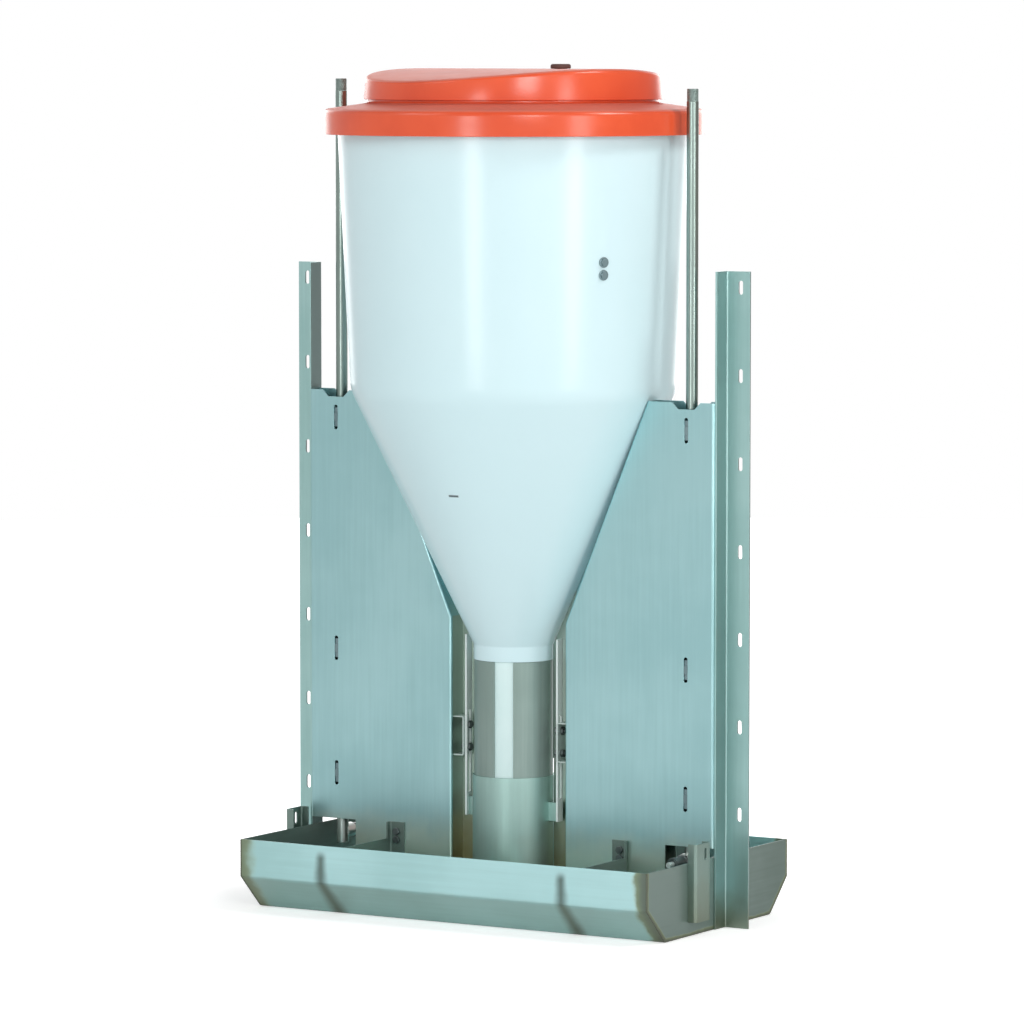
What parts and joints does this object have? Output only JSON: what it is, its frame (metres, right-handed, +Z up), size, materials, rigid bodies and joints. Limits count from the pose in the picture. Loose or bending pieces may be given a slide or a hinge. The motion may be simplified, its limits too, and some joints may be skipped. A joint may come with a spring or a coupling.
{
  "type": "pig feeder",
  "caption": "Free-standing double-sided pig feeder: steel trough and partition, white hopper with orange lid, height-adjustable feed sleeve and drinking nipples.",
  "frame": {"origin": "on the floor under the hopper's axis, in the middle of the trough", "axes": "+Z up, +X to the right along the trough, +Y to the back"},
  "size_m": [0.76, 0.548, 1.2278],
  "materials": {
    "stainless": "mill",
    "fasteners": "dull",
    "nipple_pin": "turned",
    "hopper_plastic": "gloss",
    "tube_plastic": "satin",
    "orange_plastic": "satin",
    "plug_rubber": "matte"
  },
  "bodies": {
    "feeder": {"trough_shell": "stainless", "trough_end_left": "stainless", "trough_end_right": "stainless", "divider_front_left": "stainless", "divider_front_right": "stainless", "divider_back_left": "stainless", "divider_back_right": "stainless", "partition_bracket_left": "stainless", "partition_bracket_right": "stainless", "post_left": "stainless", "post_right": "stainless", "left_panel": "stainless", "right_panel": "stainless", "pipe_clips_left": "stainless", "pipe_clips_right": "stainless", "water_pipe_left": "stainless", "water_pipe_right": "stainless", "nipple_body_left": "stainless", "nipple_body_right": "stainless", "guide_tube": "stainless", "strap_keeper_left": "stainless", "strap_keeper_right": "stainless", "divider_bolts": "fasteners", "divider_nuts": "fasteners", "hopper_bolts": "fasteners", "hopper_nuts": "fasteners", "keeper_bolts": "fasteners", "keeper_nuts": "fasteners", "hopper": "hopper_plastic", "drop_tube": "tube_plastic", "lid_ring": "orange_plastic"},
    "lid": {"lid": "orange_plastic", "lid_plug": "plug_rubber"},
    "sleeve": {"feed_sleeve": "stainless", "strap_left": "stainless", "strap_right": "stainless"},
    "left_pin": {"nipple_pin_left": "nipple_pin"},
    "right_pin": {"nipple_pin_right": "nipple_pin"}
  },
  "joints": [
    {"name": "lid_lift", "type": "slide", "parent": "feeder", "child": "lid", "axis": [0, 0, 1], "range_m": [0, 0.25]},
    {"name": "feed_adjust", "type": "slide", "parent": "feeder", "child": "sleeve", "axis": [0, 0, 1], "range_m": [-0.012, 0.024]},
    {"name": "nipple_left_push", "type": "slide", "parent": "feeder", "child": "left_pin", "axis": [0, -1, 0], "range_m": [0, 0.003], "stiffness_N_per_m": 800},
    {"name": "nipple_right_push", "type": "slide", "parent": "feeder", "child": "right_pin", "axis": [0, 1, 0], "range_m": [0, 0.003], "stiffness_N_per_m": 800}
  ]
}
